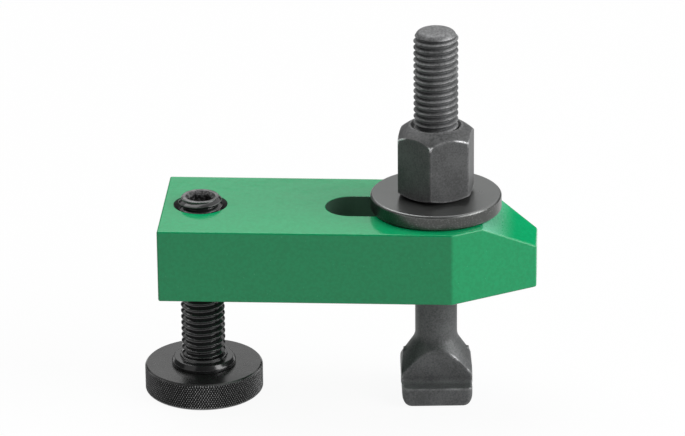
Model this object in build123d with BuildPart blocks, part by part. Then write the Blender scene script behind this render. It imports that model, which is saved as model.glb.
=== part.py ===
from build123d import *
import math
import os

# Strap clamp set up on a machine table: a tapered strap with a long slot, a jacking screw
# on a knurled foot at its heel, and a T-slot bolt through the slot with washer and tall nut.
# Millimetres. +X runs from the heel to the nose, +Z points up the bolt.
# The origin is on the table, under the bolt's axis, in the middle of the T head's base.

# Setting of the clamp: the heights and places that the user adjusts
setting_height = 33.5
bolt_to_nose = 27.0
screw_stand_out = 2.4
stud_stand_out = 26.3

# Strap
strap_length = 100.0
strap_width = 40.0
strap_thickness = 20.0
nose_width = 13.0
nose_thickness = 11.8
taper_length = 22.0
ramp_length = 14.2
strap_edge_break = 0.4
slot_front_to_nose = 25.0
slot_centre_distance = 24.5
screw_to_heel_end = 10.0
tapped_hole_countersink = 1.2

# T-slot bolt
stud_diameter = 12.0
stud_end_taper = 2.2
stud_end_flat = 8.4
stud_end_bulge = 0.45
thread_below_nut = 18.5
thread_runout = 1.2
shank_diameter = 11.3
head_thickness = 5.3
head_width = 22.0
head_length = 18.9
head_plan_radius = 1.5
head_corner_radius = 3.2
head_edge_radius = 0.9
shoulder_fillet = 1.2
neck_width = 13.8
neck_length = 19.1
neck_draft_start = 9.0
neck_length_at_top = 17.6
neck_top = 13.0
flare_start = 16.6
flare_angle = 34.0
flare_blend_radius = 4.0
flash_width = 1.3
bolt_set_angle = 4.0

# Washer and nut
washer_diameter = 35.0
washer_thickness = 4.2
washer_edge_chamfer = 0.45
nut_across_flats = 19.0
nut_height = 19.5
nut_crown_radius = 15.0
nut_crown_flat = 14.0
nut_seat_diameter = 16.4
nut_seat_chamfer_angle = 30.0
nut_bore_countersink = 0.7
nut_set_angle = 24.2

# Jacking screw and its foot
screw_diameter = 12.0
screw_end_chamfer = 1.1
socket_across_flats = 6.0
socket_depth = 7.0
socket_countersink = 0.55
shoulder_ring_diameter = 12.7
shoulder_ring_height = 0.8
shoulder_ring_chamfer = 0.2
collar_diameter = 17.3
collar_top_diameter = 16.0
collar_height = 2.1
collar_side_height = 0.85
spigot_diameter = 8.0
peened_head_diameter = 11.0
peened_head_height = 1.5
peened_head_recess = 0.4
foot_diameter = 32.0
foot_height = 7.5
foot_edge_chamfer = 0.5

# Clearances, each on the radius or along the axis
thread_clearance = 0.06
slot_clearance = 1.0
washer_clearance = 0.5
spigot_clearance = 0.08
spigot_end_play = 0.2
peened_head_clearance = 0.6

# Room that a turning blank has around the finished piece
blank_allowance = 0.5

# Heights and places that follow from the sizes above
strap_top = setting_height + strap_thickness
washer_top = strap_top + washer_thickness
nut_top = washer_top + nut_height
stud_top = nut_top + stud_stand_out
screw_top = strap_top + screw_stand_out
nose_x = bolt_to_nose
heel_x = nose_x - strap_length
taper_x = nose_x - taper_length
ramp_x = nose_x - ramp_length
slot_front_x = nose_x - slot_front_to_nose
slot_rear_x = slot_front_x - slot_centre_distance
screw_x = heel_x + screw_to_heel_end
slot_radius = stud_diameter / 2 + slot_clearance
collar_top = foot_height + collar_height
ring_top = collar_top + shoulder_ring_height
peened_head_top = peened_head_recess + peened_head_height
recess_roof = peened_head_top + spigot_end_play
hexagon_corner_ratio = 1 / math.cos(math.radians(30))
thread_start = washer_top - thread_below_nut

# Strap: plan outline with a tapered nose, then the ramp on top of the nose
with BuildPart() as clamp_strap:
    with BuildSketch(Plane.XY.offset(setting_height)):
        with BuildLine():
            Polyline(
                (heel_x, -strap_width / 2),
                (taper_x, -strap_width / 2),
                (nose_x, -nose_width / 2),
                (nose_x, nose_width / 2),
                (taper_x, strap_width / 2),
                (heel_x, strap_width / 2),
                close=True,
            )
        make_face()
    extrude(amount=strap_thickness)
    # Ramp that thins the nose, cut straight across the strap
    with BuildSketch(Plane.XZ):
        with BuildLine():
            Polyline(
                (ramp_x, strap_top),
                (nose_x, setting_height + nose_thickness),
                (nose_x, strap_top),
                close=True,
            )
        make_face()
    extrude(amount=strap_width, both=True, mode=Mode.SUBTRACT)
    # Broken outer edges
    chamfer(clamp_strap.edges(), strap_edge_break)
    # Slot for the bolt
    with BuildSketch(Plane.XY.offset(setting_height)):
        with Locations(((slot_front_x + slot_rear_x) / 2, 0)):
            SlotCenterToCenter(slot_centre_distance, 2 * slot_radius)
    extrude(amount=strap_thickness, mode=Mode.SUBTRACT)
    # Tapped hole for the jacking screw, countersunk at both faces
    with BuildSketch(Plane.XZ):
        with BuildLine():
            hole_radius = screw_diameter / 2 + thread_clearance
            mouth_radius = hole_radius + tapped_hole_countersink
            Polyline(
                (screw_x, setting_height),
                (screw_x + mouth_radius, setting_height),
                (screw_x + hole_radius, setting_height + tapped_hole_countersink),
                (screw_x + hole_radius, strap_top - tapped_hole_countersink),
                (screw_x + mouth_radius, strap_top),
                (screw_x, strap_top),
                close=True,
            )
        make_face()
    revolve(axis=Axis((screw_x, 0, 0), (0, 0, 1)), mode=Mode.SUBTRACT)

# Jacking screw: socketed thread, shoulder ring, collar, spigot and peened end in one piece
with BuildPart() as support_screw:
    thread_radius = screw_diameter / 2
    with BuildSketch(Plane.XZ):
        with BuildLine():
            dome = TangentArc(
                (screw_x, peened_head_recess),
                (screw_x + peened_head_diameter / 2, peened_head_top),
                tangent=(1, 0),
            )
            Polyline(
                dome @ 1,
                (screw_x + spigot_diameter / 2, peened_head_top),
                (screw_x + spigot_diameter / 2, foot_height),
                (screw_x + collar_diameter / 2, foot_height),
                (screw_x + collar_diameter / 2, foot_height + collar_side_height),
                (screw_x + collar_top_diameter / 2, collar_top),
                (screw_x + shoulder_ring_diameter / 2, collar_top),
                (screw_x + shoulder_ring_diameter / 2, ring_top - shoulder_ring_chamfer),
                (screw_x + thread_radius, ring_top),
                (screw_x + thread_radius, screw_top - screw_end_chamfer),
                (screw_x + thread_radius - screw_end_chamfer, screw_top),
                (screw_x, screw_top),
                dome @ 0,
            )
        make_face()
    revolve(axis=Axis((screw_x, 0, 0), (0, 0, 1)))
    # Hexagon socket with a countersunk mouth
    with BuildSketch(Plane.XY.offset(screw_top)):
        with Locations((screw_x, 0)):
            RegularPolygon(socket_across_flats / 2, 6, major_radius=False)
    extrude(amount=-socket_depth, mode=Mode.SUBTRACT)
    socket_corner = socket_across_flats / 2 * hexagon_corner_ratio
    with Locations((screw_x, 0, screw_top - socket_countersink / 2)):
        Cone(
            bottom_radius=socket_corner,
            top_radius=socket_corner + socket_countersink,
            height=socket_countersink,
            mode=Mode.SUBTRACT,
        )

# Foot: disc that swivels on the spigot, counterbored below for the peened end
with BuildPart() as knurled_foot:
    with BuildSketch(Plane.XY):
        with Locations((screw_x, 0)):
            Circle(foot_diameter / 2)
    extrude(amount=foot_height)
    rims = knurled_foot.edges().filter_by(GeomType.CIRCLE)
    chamfer(rims, foot_edge_chamfer)
    foot_bore_radius = spigot_diameter / 2 + spigot_clearance
    recess_radius = peened_head_diameter / 2 + peened_head_clearance
    with Locations((screw_x, 0, foot_height / 2)):
        Cylinder(foot_bore_radius, foot_height, mode=Mode.SUBTRACT)
    with Locations((screw_x, 0, recess_roof / 2)):
        Cylinder(recess_radius, recess_roof, mode=Mode.SUBTRACT)

# Head that slides in the T-slot: its outlines from above, from the front and from the side
with BuildPart() as t_head:
    with BuildSketch(Plane.XY):
        RectangleRounded(head_length, head_width, head_plan_radius)
    extrude(amount=head_thickness)
    with BuildSketch(Plane.XZ) as front_outline:
        Rectangle(head_length, head_thickness, align=(Align.CENTER, Align.MIN))
        fillet(front_outline.vertices().group_by(Axis.Y)[0], head_corner_radius)
    extrude(amount=head_width, both=True, mode=Mode.INTERSECT)
    with BuildSketch(Plane.YZ) as side_outline:
        Rectangle(head_width, head_thickness, align=(Align.CENTER, Align.MIN))
        fillet(side_outline.vertices().group_by(Axis.Y)[0], head_edge_radius)
    extrude(amount=head_length, both=True, mode=Mode.INTERSECT)

# T-slot bolt: a turned stud and shank that flare into the neck, cut flat by the forging dies
with BuildPart() as t_slot_bolt:
    flare_slope = math.tan(math.radians(flare_angle))
    flare_foot_radius = shank_diameter / 2 + (flare_start - head_thickness) * flare_slope
    with BuildSketch(Plane.XZ):
        with BuildLine():
            FilletPolyline(
                (flare_foot_radius, head_thickness),
                (shank_diameter / 2, flare_start),
                (shank_diameter / 2, thread_start - thread_runout),
                radius=flare_blend_radius,
            )
            Polyline(
                (shank_diameter / 2, thread_start - thread_runout),
                (stud_diameter / 2, thread_start),
                (stud_diameter / 2, stud_top - stud_end_taper),
            )
            end_arc = SagittaArc(
                (stud_diameter / 2, stud_top - stud_end_taper),
                (stud_end_flat / 2, stud_top),
                -stud_end_bulge,
            )
            Polyline(
                end_arc @ 1,
                (0, stud_top),
                (0, head_thickness),
                (flare_foot_radius, head_thickness),
            )
        make_face()
    revolve(axis=Axis.Z)
    # The flats of the neck and its drafted ends cut the flare
    with BuildSketch(Plane.XZ):
        with BuildLine():
            Polyline(
                (-neck_length / 2, 0),
                (neck_length / 2, 0),
                (neck_length / 2, neck_draft_start),
                (neck_length_at_top / 2, neck_top),
                (neck_length_at_top / 2, stud_top),
                (-neck_length_at_top / 2, stud_top),
                (-neck_length_at_top / 2, neck_top),
                (-neck_length / 2, neck_draft_start),
                close=True,
            )
        make_face()
    extrude(amount=neck_width / 2, both=True, mode=Mode.INTERSECT)
    # Seam of the two dies, left standing as a low web at each end of the neck
    with BuildSketch(Plane.XZ):
        with BuildLine():
            Polyline(
                (-neck_length / 2, head_thickness),
                (neck_length / 2, head_thickness),
                (neck_length / 2, neck_draft_start),
                (neck_length_at_top / 2, neck_top),
                (-neck_length_at_top / 2, neck_top),
                (-neck_length / 2, neck_draft_start),
                close=True,
            )
        make_face()
    extrude(amount=flash_width / 2, both=True)
    add(t_head)
    # Fillets between the neck's flats and the head
    with BuildSketch(Plane.YZ):
        with BuildLine():
            shoulder = RadiusArc(
                (neck_width / 2 + shoulder_fillet, head_thickness),
                (neck_width / 2, head_thickness + shoulder_fillet),
                shoulder_fillet,
            )
            Polyline(
                shoulder @ 1,
                (0, head_thickness + shoulder_fillet),
                (0, head_thickness),
                shoulder @ 0,
            )
        make_face()
        mirror(about=Plane.YZ)
    extrude(amount=head_length / 2, both=True)

# Plain washer under the nut
with BuildPart() as washer:
    with BuildSketch(Plane.XY.offset(strap_top)):
        Circle(washer_diameter / 2)
        Circle(stud_diameter / 2 + washer_clearance, mode=Mode.SUBTRACT)
    extrude(amount=washer_thickness)
    washer_rims = washer.edges().filter_by(GeomType.CIRCLE).group_by(SortBy.RADIUS)[-1]
    chamfer(washer_rims, washer_edge_chamfer)

# Tall hexagon nut: crowned top, chamfered seat
with BuildPart() as hex_nut:
    with BuildSketch(Plane.XY.offset(washer_top)):
        RegularPolygon(nut_across_flats / 2, 6, major_radius=False, rotation=nut_set_angle)
    extrude(amount=nut_height)
    nut_corner = nut_across_flats / 2 * hexagon_corner_ratio
    blank_radius = nut_corner + blank_allowance
    crown_drop = math.sqrt(nut_crown_radius**2 - (nut_crown_flat / 2) ** 2)
    crown_centre = nut_top - crown_drop
    crown_foot = crown_centre + math.sqrt(nut_crown_radius**2 - blank_radius**2)
    seat_rise = (blank_radius - nut_seat_diameter / 2) * math.tan(math.radians(nut_seat_chamfer_angle))
    with BuildSketch(Plane.XZ):
        with BuildLine():
            crown = RadiusArc(
                (blank_radius, crown_foot),
                (nut_crown_flat / 2, nut_top),
                -nut_crown_radius,
            )
            Polyline(
                crown @ 1,
                (0, nut_top),
                (0, washer_top),
                (nut_seat_diameter / 2, washer_top),
                (blank_radius, washer_top + seat_rise),
                crown @ 0,
            )
        make_face()
    revolve(axis=Axis.Z, mode=Mode.INTERSECT)
    nut_bore_radius = stud_diameter / 2 + thread_clearance
    with BuildSketch(Plane.XZ):
        with BuildLine():
            Polyline(
                (0, washer_top),
                (nut_bore_radius + nut_bore_countersink, washer_top),
                (nut_bore_radius, washer_top + nut_bore_countersink),
                (nut_bore_radius, nut_top - nut_bore_countersink),
                (nut_bore_radius + nut_bore_countersink, nut_top),
                (0, nut_top),
                close=True,
            )
        make_face()
    revolve(axis=Axis.Z, mode=Mode.SUBTRACT)

# The bolt stands a little askew of the strap, as its T-slot lets it
turned_bolt = t_slot_bolt.part.rotate(Axis.Z, bolt_set_angle)

clamp_strap.part.label = "clamp_strap"
support_screw.part.label = "support_screw"
knurled_foot.part.label = "knurled_foot"
turned_bolt.label = "t_slot_bolt"
washer.part.label = "washer"
hex_nut.part.label = "hex_nut"

os.makedirs("parts", exist_ok=True)
export_step(clamp_strap.part, "parts/clamp_strap.step")
export_step(support_screw.part, "parts/support_screw.step")
export_step(knurled_foot.part, "parts/knurled_foot.step")
export_step(turned_bolt, "parts/t_slot_bolt.step")
export_step(washer.part, "parts/washer.step")
export_step(hex_nut.part, "parts/hex_nut.step")
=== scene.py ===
"""Strap clamp: its six pieces with their threads, knurl and forging, paint and steel finishes.

Metres, in the frame of the solids: the table is z = 0, the bolt stands on the Z axis,
+X runs from the heel of the strap to its nose.
"""

import math
from contextlib import contextmanager

import bmesh
import bpy
from bpy.props import FloatProperty, FloatVectorProperty, IntProperty, PointerProperty
from bpy.types import Operator, Panel, PropertyGroup
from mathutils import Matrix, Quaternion, Vector


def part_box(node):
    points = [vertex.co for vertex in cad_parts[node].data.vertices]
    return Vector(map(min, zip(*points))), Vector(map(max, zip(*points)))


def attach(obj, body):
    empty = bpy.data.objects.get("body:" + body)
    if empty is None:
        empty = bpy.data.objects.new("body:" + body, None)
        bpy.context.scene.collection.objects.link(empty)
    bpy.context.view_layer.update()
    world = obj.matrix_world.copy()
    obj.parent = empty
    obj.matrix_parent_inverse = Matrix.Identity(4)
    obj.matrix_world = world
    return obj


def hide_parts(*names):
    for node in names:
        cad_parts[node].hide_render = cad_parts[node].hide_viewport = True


bl_info = {
    "name": "Strap clamp",
    "version": (1, 0, 0),
    "blender": (4, 5, 0),
    "location": "View3D > Sidebar > Clamp",
    "description": "Models the threads, knurl and forging of a strap clamp and gives it its finishes",
    "category": "Object",
}

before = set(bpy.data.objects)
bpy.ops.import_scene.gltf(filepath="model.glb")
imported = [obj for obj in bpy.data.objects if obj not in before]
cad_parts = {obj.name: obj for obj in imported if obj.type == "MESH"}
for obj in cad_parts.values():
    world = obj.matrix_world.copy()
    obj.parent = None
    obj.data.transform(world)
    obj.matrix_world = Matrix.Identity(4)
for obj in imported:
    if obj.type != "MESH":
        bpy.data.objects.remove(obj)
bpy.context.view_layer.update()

MM = 0.001
# Points nearer to each other than a speck are one point
SPECK = 1e-6
# A plane that cuts a mesh takes points nearer than a hair as lying on it
HAIR = 1e-8
# A cutter stands out past the piece that it cuts by this much
CUT_ALLOWANCE = 1.0 * MM
# Edges that turn by this angle or more are corners
CORNER_ANGLE = math.radians(28.0)
# Steps along an arc or a fillet, a rounded edge and a fine rounded edge
ARC_STEPS = 6
EDGE_STEPS = 3
FINE_EDGE_STEPS = 2
# One pitch of the thread, as shares of its depth and of its pitch
THREAD_FORM = (
    (0.0, 0.0), (0.05, 0.11), (0.93, 0.415), (0.985, 0.45), (1.0, 0.5),
    (0.985, 0.55), (0.93, 0.585), (0.05, 0.89), (0.0, 1.0),
)

STRAP_LOW, STRAP_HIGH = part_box("clamp_strap")
FOOT_LOW, FOOT_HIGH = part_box("knurled_foot")
WASHER_LOW, WASHER_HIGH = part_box("washer")
NUT_LOW, NUT_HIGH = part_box("hex_nut")
SCREW_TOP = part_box("support_screw")[1].z
BOLT_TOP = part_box("t_slot_bolt")[1].z
SCREW_X = (FOOT_LOW.x + FOOT_HIGH.x) / 2


# Sizes and colours that a user would change


def length(name, millimetres, description):
    """A length, given in millimetres and kept in metres."""
    return FloatProperty(
        name=name, description=description, default=millimetres * MM, unit="LENGTH", precision=5
    )


def tone(name, value, description):
    """A linear colour of a finish."""
    return FloatVectorProperty(
        name=name, description=description, default=value, size=3, min=0.0, max=1.0, subtype="COLOR"
    )


def number(name, value, description, unit="NONE"):
    """A plain number."""
    return FloatProperty(name=name, description=description, default=value, min=0.0, unit=unit)


def fraction(name, value, description):
    """A share of something, from 0 to 1."""
    return FloatProperty(
        name=name, description=description, default=value, min=0.0, max=1.0, subtype="FACTOR"
    )


def degrees(name, value, description):
    """An angle, given in degrees and kept in radians."""
    return FloatProperty(
        name=name, description=description, default=math.radians(value), subtype="ANGLE"
    )


def place(name, value, description):
    """A place in metres."""
    return FloatVectorProperty(
        name=name, description=description, default=value, size=3, subtype="TRANSLATION", unit="LENGTH"
    )


def count(name, value, description):
    """A whole number of steps or pieces."""
    return IntProperty(name=name, description=description, default=value, min=1)


class ClampThread(PropertyGroup):
    """Metric thread of 12 mm diameter, shared by the screw, the bolt, the nut and the strap"""

    radius: length("Radius", 5.94, "Radius over the crests of the outside thread")
    pitch: length("Pitch", 1.75, "Rise in one turn")
    depth: length("Depth", 1.05, "Radial depth of the thread")
    play: length("Play", 0.11, "Radial room of the inside thread round the outside thread")
    stud_turn: fraction("Stud turn", 0.49, "Share of a turn by which stud and nut are set on")
    steps: count("Steps", 96, "Steps in one turn")


class ClampStrap(PropertyGroup):
    """Sizes of the strap that its box doesn't give"""

    nose_width: length("Nose width", 13.0, "Width of the nose at its end")
    nose_thickness: length("Nose thickness", 11.8, "Height of the nose's end face")
    taper_length: length("Taper length", 22.0, "Length of the tapered sides of the nose")
    ramp_length: length("Ramp length", 14.2, "Length of the ramp on top of the nose")
    edge: length("Edge", 0.5, "Width of the rounded edges")
    slot_width: length("Slot width", 14.0, "Width of the slot for the bolt")
    slot_to_nose: length("Slot to nose", 25.0, "From the middle of the slot's front end to the nose")
    slot_length: length("Slot length", 24.5, "Between the middles of the slot's round ends")
    slot_edge: length("Slot edge", 0.3, "Width of the broken edge round the slot")
    countersink: length("Countersink", 1.2, "Countersink of the tapped hole, on the radius")
    slot_steps: count("Slot steps", 96, "Steps round the slot's ends")


class ClampScrew(PropertyGroup):
    """Sizes of the jacking screw"""

    end_chamfer: length("End chamfer", 1.1, "Chamfer at the upper end")
    socket_width: length("Socket width", 6.0, "Hexagon socket, across flats")
    socket_depth: length("Socket depth", 7.0, "Depth of the hexagon socket")
    socket_mouth: length("Socket mouth", 0.55, "Countersink of the socket")
    ring_radius: length("Ring radius", 6.35, "Radius of the shoulder ring under the thread")
    ring_height: length("Ring height", 0.8, "Height of the shoulder ring")
    collar_radius: length("Collar radius", 8.65, "Largest radius of the collar")
    collar_top_radius: length("Collar top radius", 8.0, "Radius of the collar's upper face")
    collar_height: length("Collar height", 2.1, "Height of the collar over the foot")
    collar_side: length("Collar side", 0.9, "Height of the collar's upright side")
    spigot_radius: length("Spigot radius", 4.0, "Radius of the spigot in the foot")
    rivet_radius: length("Rivet radius", 5.5, "Radius of the peened end under the foot")
    rivet_low: length("Rivet low", 0.4, "Height of the peened end over the table")
    rivet_high: length("Rivet high", 1.9, "Upper side of the peened end")
    rivet_bulge: length("Rivet bulge", 0.66, "Rise of the peened end's curve over its chord")
    edge: length("Edge", 0.16, "Width of the rounded edges")


class ClampFoot(PropertyGroup):
    """Sizes of the knurled foot"""

    knurls: count("Knurls", 140, "Diamonds in one row round the rim")
    rows: count("Rows", 8, "Diamonds over the height of the knurl")
    groove: length("Groove", 0.26, "Depth of the knurl's grooves")
    tip: length("Tip", 0.06, "Flat left on the tip of each diamond")
    chamfer: length("Chamfer", 0.55, "Chamfer at both rims")
    bore_radius: length("Bore radius", 4.08, "Radius of the bore for the spigot")
    recess_radius: length("Recess radius", 6.1, "Radius of the recess under the foot")
    recess_height: length("Recess height", 2.1, "Height of the recess")


class ClampBolt(PropertyGroup):
    """Sizes of the forged T-slot bolt"""

    set_angle: degrees("Set angle", 4.0, "Turn of the forging from the strap's line")
    shank_radius: length("Shank radius", 5.65, "Radius of the plain shank")
    thread_start: length("Thread start", 39.2, "Height of the first full thread")
    run_out: length("Run-out", 1.2, "Length of the cone between shank and thread")
    end_thread: length("End thread", 2.2, "From the last full thread to the upper end")
    end_rise: length("End rise", 1.25, "Height of the smooth rounded end")
    end_foot: length("End foot", 5.42, "Radius of the rounded end where the thread begins")
    end_flat: length("End flat", 4.1, "Radius of the flat upper end")
    end_bulge: length("End bulge", 0.22, "Rise of the end's curve over its chord")
    end_groove: length("End groove", 4.9, "Radius of the groove under the rounded end")
    flare_start: length("Flare start", 16.6, "Height where the shank begins to flare")
    flare_angle: degrees("Flare angle", 34.0, "Half angle of the flare")
    flare_blend: length("Flare blend", 4.0, "Radius between shank and flare")
    neck_width: length("Neck width", 13.8, "Width of the neck over its flats")
    neck_length: length("Neck length", 19.1, "Length of the neck at the head")
    draft_start: length("Draft start", 9.0, "Height where the neck's ends lean in")
    draft_top: length("Draft top", 13.0, "Height of the ears of the seam")
    draft_length: length("Draft length", 17.6, "Length of the neck at the ears")
    seam_width: length("Seam width", 1.3, "Width of the seam of the two dies")
    head_length: length("Head length", 18.9, "Length of the head along the strap")
    head_width: length("Head width", 22.0, "Width of the head across the T-slot")
    head_thickness: length("Head thickness", 5.3, "Thickness of the head")
    head_plan: length("Head plan radius", 1.5, "Radius of the head's upright edges")
    head_corner: length("Head corner", 3.2, "Radius of the head's lower corners")
    head_edge: length("Head edge", 0.9, "Radius of the head's lower long edges")
    shoulder_fillet: length("Shoulder fillet", 1.2, "Radius between the neck's flats and the head")
    skin: length("Skin", 0.22, "Size of the faces of the forged skin")


class ClampNut(PropertyGroup):
    """Sizes of the tall hexagon nut"""

    across_flats: length("Across flats", 19.0, "Width over two opposite flats")
    set_angle: degrees("Set angle", 24.2, "Turn of the first corner from +X")
    crown_radius: length("Crown radius", 15.0, "Radius of the crowned top")
    crown_flat: length("Crown flat", 7.0, "Radius of the flat in the middle of the crown")
    crown_steps: count("Crown steps", 16, "Steps along the crown's arc")
    seat_radius: length("Seat radius", 8.2, "Radius of the seat on the washer")
    seat_angle: degrees("Seat angle", 30.0, "Chamfer of the seat")
    mouth: length("Mouth", 0.7, "Countersink of the thread's mouths")
    edge: length("Edge", 0.28, "Width of the rounded upright edges")


class ClampWasher(PropertyGroup):
    """Sizes of the thick washer"""

    bore_radius: length("Bore radius", 6.5, "Radius of the hole")
    chamfer: length("Chamfer", 0.45, "Chamfer at both rims")
    edge: length("Edge", 0.12, "Width of the rounded edges")


class ClampTones(PropertyGroup):
    """Linear colours of the finishes"""

    paint: tone("Paint", (0.004, 0.385, 0.14), "Green paint")
    paint_deep: tone("Paint deep", (0.003, 0.345, 0.121), "Green paint in the hollows of its grain")
    # Darker green for the outer edges: a painted shade standing in for the dark reflection along the
    # rounded edges
    painted_edge_shade: tone("Paint edge", (0.002, 0.2, 0.075), "Green paint where it lies thin on an edge")
    paint_dust: tone("Paint dust", (0.07, 0.62, 0.34), "Dust grains in the paint")
    # Paler green past the crease of the nose: a painted sheen, where the paint is also duller
    painted_crease_sheen: tone("Paint haze", (0.2, 0.56, 0.38), "Dull paint along the crease of the nose")
    # Greyer green than the paint, laid on the walls of the slot
    slot_wall: tone("Slot wall", (0.14, 0.27, 0.19), "Wall of the slot, with little paint on it")
    oxide: tone("Black oxide", (0.02, 0.02, 0.021), "Black oxide of the screw")
    # Near black: a painted shade inside the hexagon socket, also laid at the bottoms of the knurl's
    # grooves
    socket: tone("Socket", (0.005, 0.005, 0.005), "Oily inside of the socket")
    foot: tone("Foot", (0.1, 0.1, 0.1), "Blued steel of the foot")
    phosphate: tone("Phosphate", (0.116, 0.118, 0.119), "Phosphated steel of the nut")
    forging: tone("Forging", (0.135, 0.138, 0.14), "Phosphated steel of the forged bolt")
    pits: fraction("Pits", 0.52, "Share of its tone that phosphated steel keeps in its pits")
    washer: tone("Washer", (0.185, 0.19, 0.187), "Heat-treated steel of the washer")
    washer_rim: tone("Washer rim", (0.08, 0.081, 0.078), "Heat-treated steel at the washer's rim")
    worn: tone("Worn steel", (0.42, 0.42, 0.425), "Steel laid bare on a worn edge")
    bright: tone("Bright steel", (0.85, 0.85, 0.86), "Steel rubbed bright in a few spots")
    floor: tone("Floor", (0.9, 0.9, 0.9), "Floor")
    floor_bounce: tone("Floor bounce", (0.36, 0.36, 0.36), "Floor, as it throws light on the clamp")


class ClampStage(PropertyGroup):
    """Camera, lamps, surroundings and floor"""

    azimuth: degrees("Azimuth", 3.43, "Camera's turn round the clamp")
    elevation: degrees("Elevation", 22.07, "Camera's height over the horizon")
    roll: degrees("Roll", -0.54, "Camera's turn about its own line of sight")
    distance: length("Distance", 1200.0, "From the camera to its target")
    target_x: length("Target X", -25.0, "Target, along the strap")
    target_z: length("Target Z", 50.0, "Target, over the table")
    lens: number("Lens", 236.0, "Focal length on a 36 mm sensor", unit="CAMERA")
    key_level: number("Key level", 0.97, "Level of the lamp at the right, on a surface that faces it")
    key_place: place("Key place", (1.1, -0.3, 0.52), "Lamp at the right, from the target")
    fill_level: number("Fill level", 0.08, "Level of the lamp at the left, on a surface that faces it")
    fill_place: place("Fill place", (-1.0, -0.8, 0.5), "Lamp at the left, from the target")
    back_level: number("Back level", 0.6, "Level of the lamp over the back, on a surface that faces it")
    back_place: place("Back place", (-0.3, 0.4, 1.05), "Lamp over the back, from the target")
    lamp_width: length("Lamp width", 1000.0, "Side of each square lamp")
    sky: fraction("Sky", 0.6, "Share of the surrounding light that falls on dull surfaces")
    sky_low: fraction("Low sky", 0.09, "Level of the surroundings at the front left and near the horizon")
    sky_back: fraction("Back sky", 0.15, "Share of that level that is left near the horizon behind")
    glow: fraction("Glow", 0.93, "Share of plain white in what the floor shows")
    floor_size: length("Floor size", 8000.0, "Side of the square floor")
    sight: length("Sight", 20000.0, "How far the camera sees")


# Modelling helpers


def take(obj=None):
    """Leaves just this object selected and active, or nothing selected, in object mode."""
    if bpy.context.object and bpy.context.object.mode != "OBJECT":
        bpy.ops.object.mode_set(mode="OBJECT")
    bpy.ops.object.select_all(action="DESELECT")
    if obj is not None:
        obj.select_set(True)
        bpy.context.view_layer.objects.active = obj


@contextmanager
def editing(obj):
    """Edit mode on one object, with all of it selected."""
    take(obj)
    bpy.ops.object.mode_set(mode="EDIT")
    bpy.ops.mesh.select_mode(type="VERT")
    bpy.ops.mesh.select_all(action="SELECT")
    yield
    bpy.ops.object.mode_set(mode="OBJECT")


def added(name):
    """The primitive that was just added, named, with its place, turn and scale put into its mesh."""
    obj = bpy.context.object
    obj.name = name
    take(obj)
    bpy.ops.object.transform_apply(location=True, rotation=True, scale=True)
    return obj


def pick(obj, part, test):
    """Selects, in edit mode, the vertices or the edges whose points pass a test."""
    bpy.ops.mesh.select_mode(type=part)
    bpy.ops.mesh.select_all(action="DESELECT")
    mesh = bmesh.from_edit_mesh(obj.data)
    if part == "VERT":
        for vertex in mesh.verts:
            vertex.select_set(test([vertex.co]))
    else:
        for edge in mesh.edges:
            edge.select_set(test([vertex.co for vertex in edge.verts]))
    bmesh.update_edit_mesh(obj.data)


def rises(points):
    """Tells whether an edge, given by its two points, isn't level."""
    return abs(points[0].z - points[1].z) > SPECK


def bevel_where(obj, test, width, steps):
    """Rounds the edges whose points pass a test."""
    with editing(obj):
        pick(obj, "EDGE", test)
        bpy.ops.mesh.bevel(offset=width, segments=steps, affect="EDGES")


def close_up():
    """Merges doubles and turns all faces outwards, in edit mode."""
    bpy.ops.mesh.select_mode(type="VERT")
    bpy.ops.mesh.select_all(action="SELECT")
    bpy.ops.mesh.remove_doubles(threshold=SPECK)
    bpy.ops.mesh.normals_make_consistent(inside=False)


def apply_modifier(obj, kind, **settings):
    """Adds a modifier with these settings and applies it."""
    take(obj)
    bpy.ops.object.modifier_add(type=kind)
    modifier = obj.modifiers[-1]
    for setting, value in settings.items():
        setattr(modifier, setting, value)
    bpy.ops.object.modifier_apply(modifier=modifier.name)


def combine(obj, other, operation):
    """Joins, cuts or trims obj by another closed mesh, which is used up."""
    apply_modifier(obj, "BOOLEAN", operation=operation, object=other, solver="MANIFOLD")
    bpy.data.objects.remove(other, do_unlink=True)
    if not obj.data.polygons:
        raise RuntimeError(f"Nothing is left of {obj.name} after {operation}")


def slice_off(obj, point, normal):
    """Cuts a closed mesh by a plane, removes what lies on the normal's side and fills the cut."""
    with editing(obj):
        bpy.ops.mesh.bisect(
            plane_co=point, plane_no=normal, use_fill=True, clear_outer=True, threshold=HAIR
        )


def draw_profile(name, points, x=0.0):
    """A chain of edges in the XZ plane, drawn by extruding one vertex from point to point."""
    places = [Vector((x + radius, 0.0, height)) for radius, height in points]
    take()
    bpy.ops.mesh.primitive_plane_add(size=MM, location=places[0])
    profile = added(name)
    with editing(profile):
        bpy.ops.mesh.merge(type="CENTER")
        for here, there in zip(places, places[1:]):
            bpy.ops.mesh.extrude_region_move(TRANSFORM_OT_translate={"value": there - here})
    return profile


def turn(name, points, steps, x=0.0):
    """A turned solid: a profile of radius and height spun round an upright axis at x."""
    solid = draw_profile(name, points, x)
    with editing(solid):
        bpy.ops.mesh.spin(steps=steps, angle=2 * math.pi, center=(x, 0, 0), axis=(0, 0, 1))
        close_up()
    return solid


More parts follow.
